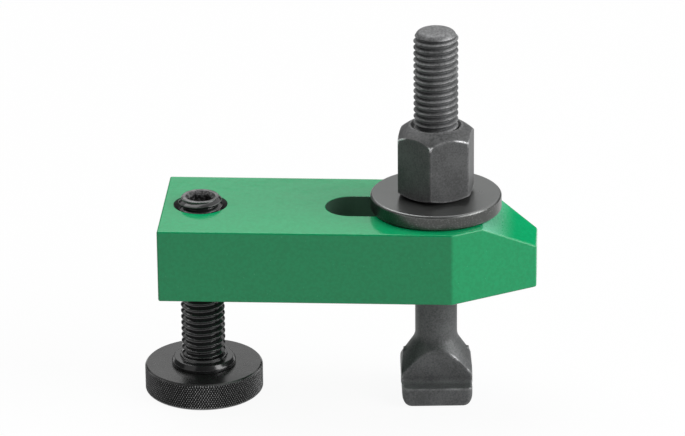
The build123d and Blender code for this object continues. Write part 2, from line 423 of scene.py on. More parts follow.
def bar_with_thread(name, thread, radius, low, high, x=0.0, set_on=0.0):
    """A threaded bar: the form of one pitch, drawn once and screwed up round its axis."""
    root = radius - thread.depth
    # The screwed form starts below both cuts and ends above them
    first = (math.floor(low / thread.pitch) - 2 + set_on) * thread.pitch
    turns = math.ceil((high - first) / thread.pitch) + 1
    form = [(root + rise * thread.depth, first + share * thread.pitch) for rise, share in THREAD_FORM]
    bar = draw_profile(name, form)
    apply_modifier(
        bar, "SCREW", axis="Z", angle=2 * math.pi, screw_offset=thread.pitch, iterations=turns,
        steps=thread.steps, render_steps=thread.steps, use_merge_vertices=True, merge_threshold=SPECK,
    )
    with editing(bar):
        close_up()
    slice_off(bar, (0, 0, low), (0, 0, -1))
    slice_off(bar, (0, 0, high), (0, 0, 1))
    with editing(bar):
        bpy.ops.mesh.normals_make_consistent(inside=False)
        bpy.ops.transform.translate(value=(x, 0, 0))
    return bar


def block(name, low, high):
    """A box between two corners, to be shaped further."""
    low, high = Vector(low), Vector(high)
    take()
    bpy.ops.mesh.primitive_cube_add(size=1.0, location=(low + high) / 2, scale=high - low)
    return added(name)


def prism(name, corners, radius, low, high, angle, x=0.0):
    """An upright prism on a regular polygon, its first corner turned by an angle from +X."""
    take()
    bpy.ops.mesh.primitive_cylinder_add(
        vertices=corners, radius=radius, depth=high - low, location=(x, 0, (low + high) / 2),
        rotation=(0, 0, angle - math.pi / 2),
    )
    return added(name)


def bulged(start, end, bulge):
    """Points after start on a shallow curve to end, raised by bulge to the left of its chord."""
    start, end = Vector(start), Vector(end)
    chord = end - start
    left = Vector((-chord.y, chord.x)).normalized()
    points = []
    for step in range(1, ARC_STEPS + 1):
        share = step / ARC_STEPS
        points.append(start + share * chord + 4 * bulge * share * (1 - share) * left)
    return [tuple(point) for point in points]


def hexagon_corner(width):
    """Radius to the corners of a hexagon of a width across flats."""
    return width / 2 / math.cos(math.pi / 6)


def round_corners(obj, width):
    """Rounds every edge that turns by a corner's angle or more."""
    apply_modifier(
        obj, "BEVEL", width=width, segments=FINE_EDGE_STEPS, limit_method="ANGLE",
        angle_limit=CORNER_ANGLE, use_clamp_overlap=True,
    )


def tap_hole(obj, thread, low, high, mouth, x=0.0, set_on=0.0):
    """Drills an upright hole, countersunk to a radius at both mouths, and cuts the thread in it."""
    crest = thread.radius + thread.play
    core = crest - thread.depth
    flare = mouth + CUT_ALLOWANCE
    under, over = low - CUT_ALLOWANCE, high + CUT_ALLOWANCE
    drill = turn(
        "drill",
        [
            (0, under), (flare, under), (core, low + mouth - core),
            (core, high - mouth + core), (flare, over), (0, over),
        ],
        thread.steps, x,
    )
    combine(obj, drill, "DIFFERENCE")
    combine(obj, bar_with_thread("tap", thread, crest, under, over, x, set_on), "DIFFERENCE")


def smooth(obj, angle):
    """Smooth shading that keeps edges sharper than an angle in degrees, with large faces kept flat."""
    take(obj)
    bpy.ops.object.shade_smooth_by_angle(angle=math.radians(angle))
    apply_modifier(obj, "WEIGHTED_NORMAL", keep_sharp=True)


def hand_over(obj, node, body, material):
    """Gives a finished piece its material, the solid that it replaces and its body."""
    obj.data.materials.clear()
    obj.data.materials.append(material)
    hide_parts(node)
    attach(obj, body)


# Shader helpers


class Wire:
    """A number that runs through a node tree: arithmetic on it adds Math nodes."""

    def __init__(self, nodes, socket):
        self.nodes = nodes
        self.socket = socket

    def math(self, operation, other=None, flipped=False):
        """A Math node on this number alone, or on it and another, which comes first if flipped."""
        values = [self] if other is None else [self, other]
        if flipped:
            values.reverse()
        node = self.nodes.add("ShaderNodeMath", {"operation": operation}, dict(enumerate(values)))
        return Wire(self.nodes, node.outputs[0])

    def __add__(self, other):
        return self.math("ADD", other)

    def __sub__(self, other):
        return self.math("SUBTRACT", other)

    def __rsub__(self, other):
        return self.math("SUBTRACT", other, flipped=True)

    def __mul__(self, other):
        return self.math("MULTIPLY", other)

    __radd__ = __add__
    __rmul__ = __mul__

    def ramp(self, low, high):
        """0 below low, 1 above high, and smooth between."""
        node = self.nodes.add(
            "ShaderNodeMapRange",
            {"interpolation_type": "SMOOTHSTEP", "clamp": True},
            {"Value": self, "From Min": low, "From Max": high},
        )
        return Wire(self.nodes, node.outputs[0])


class Nodes:
    """A node tree with one output, which grows by one node after another."""

    def __init__(self, tree, output):
        self.tree = tree
        self.tree.nodes.clear()
        self.output = self.add(output)
        self.coordinates = self.add("ShaderNodeTexCoord")

    def add(self, kind, settings=None, inputs=None):
        """A node of a kind, with its settings made first and its sockets fed after them."""
        node = self.tree.nodes.new(kind)
        for setting, value in (settings or {}).items():
            setattr(node, setting, value)
        for name, value in (inputs or {}).items():
            self.feed(node.inputs[name], value)
        return node

    def feed(self, socket, value):
        """Sets a socket to a value, or links it to a wire or another socket."""
        if isinstance(value, Wire):
            self.tree.links.new(value.socket, socket)
        elif isinstance(value, bpy.types.NodeSocket):
            self.tree.links.new(value, socket)
        elif socket.type == "RGBA":
            socket.default_value = (*value, 1.0)
        else:
            socket.default_value = value

    def show(self, shader):
        """Sends a shader to the output."""
        self.tree.links.new(shader.outputs[0], self.output.inputs["Surface"])

    def blend(self, factor, first, second):
        """A shader between two shaders: the first at 0, the second at 1."""
        node = self.add("ShaderNodeMixShader", None, {0: factor})
        self.tree.links.new(first.outputs[0], node.inputs[1])
        self.tree.links.new(second.outputs[0], node.inputs[2])
        return node

    def ray(self, kind):
        """1 for rays of a kind, such as Is Camera Ray, and 0 for others."""
        return Wire(self, self.add("ShaderNodeLightPath").outputs[kind])

    def mirrored(self):
        """1 for what is seen by the camera, in polished steel or through glass, and 0 for dull light."""
        seen = self.ray("Is Camera Ray")
        for kind in ("Is Glossy Ray", "Is Transmission Ray"):
            seen = seen.math("MAXIMUM", self.ray(kind))
        return seen


class Finish(Nodes):
    """A material with one Principled shader, whose inputs are fed one after another."""

    def __init__(self, name):
        self.material = bpy.data.materials.new(name)
        self.material.use_nodes = True
        super().__init__(self.material.node_tree, "ShaderNodeOutputMaterial")
        self.place = self.coordinates.outputs["Object"]
        self.shader = self.add("ShaderNodeBsdfPrincipled")
        self.show(self.shader)

    def shade(self, **values):
        """Feeds the shader's sockets, named with underscores for spaces."""
        for name, value in values.items():
            self.feed(self.shader.inputs[name.replace("_", " ")], value)

    def axes(self, x=0.0):
        """X, Y and Z of the surface, with X measured from an upright axis at x."""
        parts = self.add("ShaderNodeSeparateXYZ", None, {0: self.place}).outputs
        return Wire(self, parts[0]) - x, Wire(self, parts[1]), Wire(self, parts[2])

    def radius(self, x=0.0):
        """Distance from an upright axis at x."""
        along, across, _ = self.axes(x)
        return (along * along + across * across).math("SQRT")

    def noise(self, grain, detail=3.0, roughness=0.5, stretch=None):
        """Noise with grains of a size, from 0 to 1 with its middle at a half."""
        where = self.place
        if stretch:
            where = self.add("ShaderNodeMapping", None, {"Vector": where, "Scale": stretch}).outputs[0]
        node = self.add(
            "ShaderNodeTexNoise",
            {"noise_dimensions": "3D"},
            {"Vector": where, "Scale": 1.0 / grain, "Detail": detail, "Roughness": roughness},
        )
        return Wire(self, node.outputs[0])

    def rings(self, radius, spacing, roughness):
        """Noise in turned rings of a spacing, from 0 to 1, over a distance from the axis."""
        node = self.add(
            "ShaderNodeTexNoise",
            {"noise_dimensions": "1D"},
            {"W": radius, "Scale": 1.0 / spacing, "Detail": 3.0, "Roughness": roughness},
        )
        return Wire(self, node.outputs[0])

    def specks(self, spacing, size):
        """1 in small round specks, scattered at a spacing, and 0 elsewhere."""
        node = self.add(
            "ShaderNodeTexVoronoi", {"feature": "F1"}, {"Vector": self.place, "Scale": 1.0 / spacing}
        )
        return 1.0 - Wire(self, node.outputs["Distance"]).ramp(0.4 * size / spacing, size / spacing)

    def outer_edge(self, reach, full=0.5):
        """1 on outer edges, where a share, full, of the view inwards ends within reach; 0 on flats."""
        node = self.add(
            "ShaderNodeAmbientOcclusion",
            {"samples": 8, "inside": True, "only_local": True},
            {"Distance": reach},
        )
        return (1.0 - Wire(self, node.outputs["AO"])).ramp(0.1 * full, full)

    def near(self, spots):
        """1 at each of some spots, given as X, Y, Z and reach, and 0 beyond their reach."""
        total = None
        for *centre, reach in spots:
            gap = self.add("ShaderNodeVectorMath", {"operation": "DISTANCE"}, {0: self.place, 1: centre})
            spot = 1.0 - Wire(self, gap.outputs["Value"]).ramp(0.3 * reach, reach)
            total = spot if total is None else total.math("MAXIMUM", spot)
        return total

    def mix(self, factor, first, second):
        """A colour between two colours."""
        node = self.add(
            "ShaderNodeMix", {"data_type": "RGBA", "clamp_factor": True}, {0: factor, 6: first, 7: second}
        )
        return node.outputs[2]

    def relief(self, height, depth, under=None):
        """A normal that shows a height from 0 to 1 as relief of a depth in metres."""
        inputs = {"Height": height, "Distance": depth, "Strength": 1.0}
        if under is not None:
            inputs["Normal"] = under
        return self.add("ShaderNodeBump", None, inputs).outputs[0]

    def soft_corner(self, radius):
        """A normal that rounds all edges by a small radius."""
        return self.add("ShaderNodeBevel", {"samples": 6}, {"Radius": radius}).outputs[0]


# Materials


def green_paint(tones, mouth_radius, slot, ramp):
    """Semi-gloss green paint with orange peel, its outer edges darkened as painted shade, greyer in the
    slot, bare and black in the tapped hole.

    The slot is given by its middle, half its length and its radius, and the ramp by the place of
    its crease and its fall. Just past the crease the paint is dull and has a painted sheen that makes it
    paler.
    """
    finish = Finish("green_paint")
    swell = finish.noise(5.0 * MM, 2.0, 0.5)
    peel = finish.noise(0.9 * MM, 3.0, 0.55)
    grain = finish.noise(0.4 * MM, 2.0, 0.6)
    dust = finish.specks(2.6 * MM, 0.22 * MM)
    edge = finish.outer_edge(0.45 * MM)
    body = finish.mix((peel * 0.7 + grain * 0.3).ramp(0.4, 0.6), tones.paint_deep, tones.paint)
    body = finish.mix(dust * 0.3, body, tones.paint_dust)
    # The outer edges are darkened: painted shade for their dark reflection
    painted = finish.mix(edge * 0.7, body, tones.painted_edge_shade)

    middle, half_length, radius = slot
    along, across, height = finish.axes(middle)
    crease, fall = ramp
    past = along + middle - crease
    depth = (STRAP_HIGH.z - height) - past * fall
    # Past the crease the paint is rougher, and paler from a painted sheen
    dull_and_sheen = past.ramp(-0.2 * MM, 0.2 * MM) * (1.0 - depth.ramp(0.1 * MM, 0.3 * MM))
    dull_and_sheen = dull_and_sheen * (1.0 - past.ramp(0.0, 9.0 * MM))
    painted = finish.mix(dull_and_sheen * grain.ramp(0.25, 0.6), painted, tones.painted_crease_sheen)

    # The walls of the slot take a greyer green
    beyond = (along.math("ABSOLUTE") - half_length).math("MAXIMUM", 0.0)
    from_slot = (beyond * beyond + across * across).math("SQRT")
    walled = finish.mix(1.0 - from_slot.ramp(radius, radius + 0.1 * MM), painted, tones.slot_wall)
    bare = 1.0 - finish.radius(SCREW_X).ramp(mouth_radius - 0.12 * MM, mouth_radius + 0.05 * MM)
    finish.shade(
        Base_Color=finish.mix(bare, walled, tones.oxide),
        Roughness=0.1 + 0.07 * grain + 0.35 * dull_and_sheen + 0.4 * bare,
        Specular_IOR_Level=0.38,
        Normal=finish.relief(peel * 0.4 + swell * 1.4, 0.045 * MM),
    )
    return finish.material


def black_oxide(tones, socket_radius):
    """Glossy black oxide on a machined screw: its upper end and edges lighter, partly wear and partly
    painted highlight; its socket dull, with a painted shade near black.
    """
    finish = Finish("black_oxide")
    edge = finish.outer_edge(0.35 * MM)
    cloud = finish.noise(3.0 * MM, 3.0)
    lathe = finish.noise(0.3 * MM, 2.0, 0.5, stretch=(0.15, 0.15, 1.0))
    inside = 1.0 - finish.radius(SCREW_X).ramp(socket_radius - 0.15 * MM, socket_radius)
    height = finish.axes()[2]
    end = height.ramp(SCREW_TOP - 0.3 * MM, SCREW_TOP - 0.1 * MM)
    # Edges are lightened less under the strap and more above it
    edge_gain_by_height = 0.3 + 0.5 * height.ramp(STRAP_LOW.z, STRAP_HIGH.z)
    # Upper end face and edges lighter: partly wear, partly a painted highlight and sheen for the light
    # they catch
    worn = edge * cloud.ramp(0.3, 0.6) * edge_gain_by_height + end * lathe.ramp(0.3, 0.7) * 0.4
    outside = finish.mix(worn.math("MINIMUM", 1.0), tones.oxide, tones.worn)
    # Inside the socket: near black with a few lighter flecks, a painted shade of the deep socket
    flecks = finish.noise(0.7 * MM, 2.0).ramp(0.5, 0.65)
    socket_shade = finish.mix(flecks * 0.3, tones.socket, tones.worn)
    finish.shade(
        Base_Color=finish.mix(inside, outside, socket_shade),
        Metallic=0.1 * (1.0 - inside),
        Roughness=0.12 + 0.08 * cloud + 0.4 * inside,
        Specular_IOR_Level=0.7,
        Normal=finish.relief(lathe, 0.006 * MM, finish.soft_corner(0.22 * MM)),
    )
    return finish.material


def blued_steel(tones, rim_radius, groove):
    """Satin blued steel of the foot: fine turned rings on its faces, near black at the bottoms of the
    knurl's grooves, bright tips, and edges lighter, partly wear and partly painted highlight.
    """
    finish = Finish("blued_steel")
    radius = finish.radius(SCREW_X)
    rings = finish.rings(radius, 0.35 * MM, 0.6)
    cloud = finish.noise(5.0 * MM, 3.0)
    height = finish.axes()[2]
    above = 1.0 - height.ramp(FOOT_HIGH.z - 0.6 * MM, FOOT_HIGH.z - 0.5 * MM)
    knurled = height.ramp(0.5 * MM, 0.6 * MM) * above
    knurled = knurled * radius.ramp(rim_radius - 1.5 * groove, rim_radius - 1.3 * groove)
    # Near black towards the bottoms of the knurl's grooves
    groove_bottom_dark = knurled * (1.0 - radius.ramp(rim_radius - 0.75 * groove, rim_radius - 0.2 * groove))
    tip = knurled * radius.ramp(rim_radius - 0.5 * groove, rim_radius - 0.1 * groove)
    tip = tip * finish.noise(0.6 * MM, 1.0).ramp(0.25, 0.55)
    # Lighter along the edges of the rims: partly wear, partly a painted highlight for the light line on
    # the top edge
    edge = finish.outer_edge(0.4 * MM) * cloud.ramp(0.35, 0.6) * (1.0 - knurled)
    body = finish.mix(groove_bottom_dark, tones.foot, tones.socket)
    finish.shade(
        Base_Color=finish.mix((tip * 0.8 + edge * 0.5).math("MINIMUM", 1.0), body, tones.worn),
        Metallic=0.9 - 0.5 * knurled,
        Roughness=0.2 + 0.14 * cloud + 0.15 * knurled,
        Normal=finish.relief(rings, 0.006 * MM),
    )
    return finish.material


def phosphated_steel(name, tones, base, thread, thread_low, end, spots):
    """Dark grey phosphated steel, grainy, worn on edges, lighter on thread crests as wear and painted
    highlight, and bright at a few spots.

    The upper end is given by its height, its wear and its stain. Each spot has a place and a reach.
    """
    finish = Finish(name)
    grain = finish.noise(0.45 * MM, 3.0, 0.7)
    cloud = finish.noise(6.0 * MM, 3.0, 0.55)
    height = finish.axes()[2]
    radius = finish.radius()
    edge = finish.outer_edge(0.8 * MM, 0.3)
    rubbed = finish.near(spots) * finish.outer_edge(0.5 * MM, 0.05) * grain.ramp(0.3, 0.5)
    crest = radius.ramp(thread.radius - 0.3 * MM, thread.radius) * height.ramp(thread_low, thread_low + MM)
    # Faces that lie further out than the thread have no crests
    crest = crest * (1.0 - radius.ramp(thread.radius + 0.05 * MM, thread.radius + 0.1 * MM))
    end_low, end_wear, end_stain = end
    upper = height.ramp(end_low, end_low + 0.3 * MM)
    flecks = finish.noise(0.7 * MM, 3.0, 0.6).ramp(0.3, 0.7)
    worn = edge * (0.3 + 0.7 * cloud.ramp(0.4, 0.6)) * grain.ramp(0.25, 0.55) * 0.6
    # Thread crests a little lighter: partly wear, partly a painted highlight
    worn = worn + crest * grain.ramp(0.25, 0.6) * 0.05 + upper * flecks * end_wear
    worn = worn.math("MINIMUM", 1.0)
    pits = [tones.pits * part for part in base]
    shade = finish.mix((cloud * 0.35 + grain * 0.65).ramp(0.36, 0.64), pits, base)
    shade = finish.mix(upper * (1.0 - flecks) * end_stain, shade, pits)
    finish.shade(
        Base_Color=finish.mix(rubbed, finish.mix(worn, shade, tones.worn), tones.bright),
        Metallic=0.35 + 0.5 * rubbed,
        Roughness=0.44 + 0.16 * grain - 0.2 * rubbed,
        Normal=finish.relief(grain * 0.6 + cloud * 0.4, 0.025 * MM, finish.soft_corner(0.1 * MM)),
    )
    return finish.material


def washer_steel(tones, outer_radius):
    """Satin heat-treated steel: turned faces, a darker and browner rim, and lighter edges, partly worn and
    partly a painted highlight.
    """
    finish = Finish("washer_steel")
    radius = finish.radius()
    rings = finish.rings(radius, 0.3 * MM, 0.65)
    cloud = finish.noise(4.0 * MM, 3.0)
    grain = finish.noise(0.4 * MM, 2.0, 0.6)
    # Lighter on the edges: partly wear, partly a painted highlight for the bright line along the top rim
    edge = finish.outer_edge(0.4 * MM, 0.2) * cloud.ramp(0.25, 0.6)
    rim = radius.ramp(outer_radius - 0.3 * MM, outer_radius)
    body = finish.mix(rim * grain.ramp(0.2, 0.5), tones.washer, tones.washer_rim)
    finish.shade(
        Base_Color=finish.mix(edge * 0.8, body, tones.worn),
        Metallic=0.85,
        Roughness=0.24 + 0.12 * cloud,
        Normal=finish.relief(rings * 0.7 + grain * 0.3, 0.008 * MM),
    )
    return finish.material


def floor_surface(tones, glow):
    """Pale floor, shown near white with its shadows, that throws less light back on the clamp."""
    finish = Finish("pale_floor")
    cloud = finish.noise(120.0 * MM, 2.0)
    shade = [0.97 * part for part in tones.floor]
    finish.shade(Base_Color=finish.mix(cloud, shade, tones.floor), Roughness=0.6, Specular_IOR_Level=0.2)
    white = finish.add("ShaderNodeEmission", None, {"Color": (1, 1, 1), "Strength": 1.0})
    dull = finish.add("ShaderNodeBsdfDiffuse", None, {"Color": tones.floor_bounce})
    shown = finish.blend(glow, finish.shader, white)
    finish.show(finish.blend(finish.mirrored(), dull, shown))
    return finish.material


# One operator for each piece, and one for the stage


class CLAMP_OT_strap(Operator):
    """Model the tapered strap with its ramp, slot and tapped hole, and paint it"""

    bl_idname = "clamp.strap"
    bl_label = "Strap"

    def execute(self, context):
        size, thread = context.scene.clamp_strap, context.scene.clamp_thread
        low, high = STRAP_LOW, STRAP_HIGH
        strap = block("painted_strap", low, high)
        narrowing = (high.y - low.y - size.nose_width) / 2
        for side in (-1, 1):
            flank = side * size.nose_width / 2
            slice_off(strap, (high.x, flank, 0), (narrowing, side * size.taper_length, 0))
        drop = high.z - low.z - size.nose_thickness
        slice_off(strap, (high.x, 0, low.z + size.nose_thickness), (drop, 0, size.ramp_length))
        with editing(strap):
            close_up()
            bpy.ops.mesh.select_mode(type="EDGE")
            bpy.ops.mesh.bevel(offset=size.edge, segments=EDGE_STEPS, affect="EDGES", clamp_overlap=True)

        front = high.x - size.slot_to_nose
        rear = front - size.slot_length
        radius = size.slot_width / 2
        cutter = prism(
            "slot_cutter", size.slot_steps, radius, low.z - CUT_ALLOWANCE, high.z + CUT_ALLOWANCE,
            math.pi / size.slot_steps, rear,
        )
        with editing(cutter):
            pick(cutter, "VERT", lambda points: points[0].x > rear)
            bpy.ops.transform.translate(value=(size.slot_length, 0, 0))
        combine(strap, cutter, "DIFFERENCE")

        mouth = thread.radius + thread.play + size.countersink
        tap_hole(strap, thread, low.z, high.z, mouth, SCREW_X)

        def on_slot_rim(points):
            return all(
                min(abs(point.z - low.z), abs(point.z - high.z)) < SPECK
                and rear - radius - SPECK < point.x < front + radius + SPECK
                and abs(point.y) < radius + SPECK
                for point in points
            )

        bevel_where(strap, on_slot_rim, size.slot_edge, FINE_EDGE_STEPS)
        smooth(strap, 30.0)
        slot = (front + rear) / 2, (front - rear) / 2, radius
        ramp = high.x - size.ramp_length, drop / size.ramp_length
        paint = green_paint(context.scene.clamp_tones, mouth, slot, ramp)
        hand_over(strap, "clamp_strap", "strap", paint)
        return {"FINISHED"}


class CLAMP_OT_screw(Operator):
    """Model the jacking screw with its thread, socket, collar and peened spigot"""

    bl_idname = "clamp.screw"
    bl_label = "Jacking screw"

    def execute(self, context):
        size, thread = context.scene.clamp_screw, context.scene.clamp_thread
        seat = FOOT_HIGH.z
        collar_top = seat + size.collar_height
        ring_top = collar_top + size.ring_height
        top = SCREW_TOP
        peened = bulged((0, size.rivet_low), (size.rivet_radius, size.rivet_high), -size.rivet_bulge)
        lower = turn(
            "support_screw_dressed",
            [
                (0, size.rivet_low), *peened,
                (size.spigot_radius, size.rivet_high), (size.spigot_radius, seat),
                (size.collar_radius, seat), (size.collar_radius, seat + size.collar_side),
                (size.collar_top_radius, collar_top), (size.ring_radius, collar_top),
                (size.ring_radius, ring_top), (0, ring_top),
            ],
            thread.steps, SCREW_X,
        )
        round_corners(lower, size.edge)
        bar = bar_with_thread("screw_thread", thread, thread.radius, seat, top + thread.pitch, SCREW_X)
        envelope = turn(
            "screw_envelope",
            [
                (0, collar_top), (thread.radius + CUT_ALLOWANCE, collar_top),
                (thread.radius + CUT_ALLOWANCE, top - size.end_chamfer - CUT_ALLOWANCE),
                (thread.radius - size.end_chamfer, top), (0, top),
            ],
            thread.steps, SCREW_X,
        )
        combine(bar, envelope, "INTERSECT")
        combine(lower, bar, "UNION")
        corner = hexagon_corner(size.socket_width)
        mouth = corner + size.socket_mouth
        over = top + CUT_ALLOWANCE
        socket = prism("socket", 6, corner, top - size.socket_depth, over, 0, SCREW_X)
        combine(lower, socket, "DIFFERENCE")
        funnel = [(0, top - mouth), (mouth + CUT_ALLOWANCE, over), (0, over)]
        combine(lower, turn("countersink", funnel, thread.steps, SCREW_X), "DIFFERENCE")
        smooth(lower, 35.0)
        oxide = black_oxide(context.scene.clamp_tones, mouth)
        hand_over(lower, "support_screw", "screw", oxide)
        return {"FINISHED"}


class CLAMP_OT_foot(Operator):
    """Model the foot: a bar with a diamond knurl, turned to a disc with bore and recess"""

    bl_idname = "clamp.foot"
    bl_label = "Knurled foot"

    def execute(self, context):
        size, thread = context.scene.clamp_foot, context.scene.clamp_thread
        radius = (FOOT_HIGH.x - FOOT_LOW.x) / 2
        # Each diamond takes two columns and two rows of points
        columns, row_count = 2 * size.knurls, 2 * size.rows
        low, high = -CUT_ALLOWANCE, FOOT_HIGH.z + CUT_ALLOWANCE
        foot = prism("knurled_foot_dressed", columns, radius, low, high, 0, SCREW_X)

        def in_groove(points):
            corner = points[0]
            column = round(math.atan2(corner.y, corner.x - SCREW_X) * columns / (2 * math.pi))
            row = round((corner.z - low) * row_count / (high - low))
            return (column + row) % 2 == 1

        def on_tip(points):
            return not in_groove(points) and low + SPECK < points[0].z < high - SPECK

        with editing(foot):
            pick(foot, "EDGE", rises)
            bpy.ops.mesh.subdivide(number_cuts=row_count - 1)
            pick(foot, "VERT", in_groove)
            bpy.ops.mesh.vert_connect()
            pick(foot, "VERT", in_groove)
            shrink = 1 - size.groove / radius
            bpy.ops.transform.resize(value=(shrink, shrink, 1), center_override=(SCREW_X, 0, 0))
            pick(foot, "VERT", on_tip)
            bpy.ops.mesh.bevel(offset=size.tip, segments=1, affect="VERTICES")
        over = radius + CUT_ALLOWANCE
        under = radius - size.chamfer
        disc = turn(
            "foot_envelope",
            [
                (size.bore_radius, FOOT_HIGH.z), (under, FOOT_HIGH.z),
                (over, FOOT_HIGH.z - size.chamfer - CUT_ALLOWANCE), (over, size.chamfer + CUT_ALLOWANCE),
                (under, 0), (size.recess_radius, 0), (size.recess_radius, size.recess_height),
                (size.bore_radius, size.recess_height), (size.bore_radius, FOOT_HIGH.z),
            ],
            thread.steps, SCREW_X,
        )
        combine(foot, disc, "INTERSECT")
        smooth(foot, 20.0)
        steel = blued_steel(context.scene.clamp_tones, radius, size.groove)
        hand_over(foot, "knurled_foot", "foot", steel)
        return {"FINISHED"}


class CLAMP_OT_bolt(Operator):
    """Model the T-slot bolt: forged head, neck and shank with a soft skin, and a threaded stud"""

    bl_idname = "clamp.bolt"
    bl_label = "T-slot bolt"

    def execute(self, context):
        size, thread = context.scene.clamp_bolt, context.scene.clamp_thread
        shank_top = size.thread_start - 0.5 * size.run_out
        forging = self.neck(size, thread, shank_top)
        combine(forging, self.shoulder(size, thread), "UNION")
        combine(forging, self.head(size), "UNION")
        apply_modifier(forging, "REMESH", mode="VOXEL", voxel_size=size.skin, use_smooth_shade=True)
        apply_modifier(forging, "SMOOTH", factor=0.5, iterations=2)
        with editing(forging):
            bpy.ops.transform.rotate(
                value=-size.set_angle, orient_axis="Z", center_override=(0, 0, 0)
            )
        combine(forging, self.stud(size, thread, shank_top), "UNION")
        combine(forging, self.rounded_end(size, thread), "UNION")
        smooth(forging, 35.0)

        tones = context.scene.clamp_tones
        # Rubbed bright on the neck: the right side and the right foot of its front arch
        spots = (
            (0.24 * size.neck_length, -size.neck_width / 2, 0.72 * size.flare_start, 2.4 * MM),
            (0.48 * size.neck_length, -size.neck_width / 2, size.draft_start, 1.2 * MM),
        )
        material = phosphated_steel(
            "phosphated_bolt", tones, tones.forging, thread, size.thread_start,
            (BOLT_TOP - size.end_rise, 0.4, 0.0), spots,
        )
        hand_over(forging, "t_slot_bolt", "bolt", material)
        return {"FINISHED"}

    def neck(self, size, thread, shank_top):
        """The shank and its flare, cut flat by the dies, with the seam that the dies leave."""
        slope = math.tan(size.flare_angle)
        foot_radius = size.shank_radius + (size.flare_start - size.head_thickness) * slope
        forging = turn(
            "t_slot_bolt_dressed",
            [
                (0, size.head_thickness), (foot_radius, size.head_thickness),
                (size.shank_radius, size.flare_start), (size.shank_radius, shank_top), (0, shank_top),
            ],
            thread.steps,
        )

        def on_bend(points):
            return all(abs(point.z - size.flare_start) < SPECK for point in points)

        bevel_where(forging, on_bend, size.flare_blend * math.tan(size.flare_angle / 2), ARC_STEPS)
        die = block(
            "neck_die",
            (-size.neck_length / 2, -size.neck_width / 2, 0),
            (size.neck_length / 2, size.neck_width / 2, size.flare_start + 2 * CUT_ALLOWANCE),
        )
        seam = block(
            "die_seam",
            (-size.neck_length / 2, -size.seam_width / 2, 0.5 * size.head_thickness),
            (size.neck_length / 2, size.seam_width / 2, size.draft_top),
        )
        lean = (size.neck_length - size.draft_length) / 2
        rise = size.draft_top - size.draft_start
        for part in (die, seam):
            for side in (-1, 1):
                end = side * size.neck_length / 2
                slice_off(part, (end, 0, size.draft_start), (side * rise, 0, lean))
        shank = turn(
            "shank",
            [
                (0, size.flare_start), (size.shank_radius, size.flare_start + CUT_ALLOWANCE),
                (size.shank_radius, shank_top), (0, shank_top),
            ],
            thread.steps,
        )
        combine(forging, die, "INTERSECT")
        combine(forging, shank, "UNION")
        combine(forging, seam, "UNION")
        return forging

    def head(self, size):
        """The T head: a block trimmed by three more, rounded from the front, the side and above."""
        low = Vector((-size.head_length / 2, -size.head_width / 2, 0))
        high = Vector((size.head_length / 2, size.head_width / 2, size.head_thickness))
        head = block("head", low, high)
        # The axis that the rounded edges run along, with their radius
        for axis, radius in ((1, size.head_corner), (0, size.head_edge), (2, size.head_plan)):
            outline = block("outline", low, high)
            bevel_where(
                outline,
                lambda points: abs(points[0][axis] - points[1][axis]) > SPECK
                and (axis == 2 or points[0].z < SPECK),
                radius, ARC_STEPS,
            )
            combine(head, outline, "INTERSECT")
        return head

    def shoulder(self, size, thread):
        """Strips that fill the corners between the neck's flats and the head, hollowed to a fillet."""
        reach = size.neck_width / 2 + size.shoulder_fillet
        rise = size.head_thickness + size.shoulder_fillet
        strip = block(
            "shoulder",
            (-size.head_length / 2, -reach, 0.5 * size.head_thickness),
            (size.head_length / 2, reach, rise),
        )
        for side in (-1, 1):
            take()
            bpy.ops.mesh.primitive_cylinder_add(
                vertices=thread.steps, radius=size.shoulder_fillet, depth=size.head_length + CUT_ALLOWANCE,
                location=(0, side * reach, rise), rotation=(0, math.pi / 2, 0),
            )
            combine(strip, added("hollow"), "DIFFERENCE")
        return strip

    def stud(self, size, thread, shank_top):
        """The threaded stud, run out to the shank below and to the rounded end above."""
        top = BOLT_TOP
        core = thread.radius - thread.depth
        under = shank_top - size.run_out
        over = thread.radius + CUT_ALLOWANCE
        stud = bar_with_thread(
            "stud", thread, thread.radius, under - thread.pitch, top, set_on=thread.stud_turn
        )
        envelope = turn(
            "stud_envelope",
            [
                (0, under), (core, under), (over, size.thread_start + CUT_ALLOWANCE),
                (over, top - size.end_thread - CUT_ALLOWANCE), (size.end_foot, top - size.end_rise),
                (0, top - size.end_rise),
            ],
            thread.steps,
        )
        combine(stud, envelope, "INTERSECT")
        return stud

    def rounded_end(self, size, thread):
        """The smooth upper end, over the last groove of the thread."""
        top = BOLT_TOP
        foot = top - size.end_rise
        under = foot - CUT_ALLOWANCE
        dome = bulged((size.end_foot, foot), (size.end_flat, top), -size.end_bulge)
        return turn(
            "rounded_end",
            [(0, under), (size.end_groove, (foot + under) / 2), (size.end_foot, foot), *dome, (0, top)],
            thread.steps,
        )


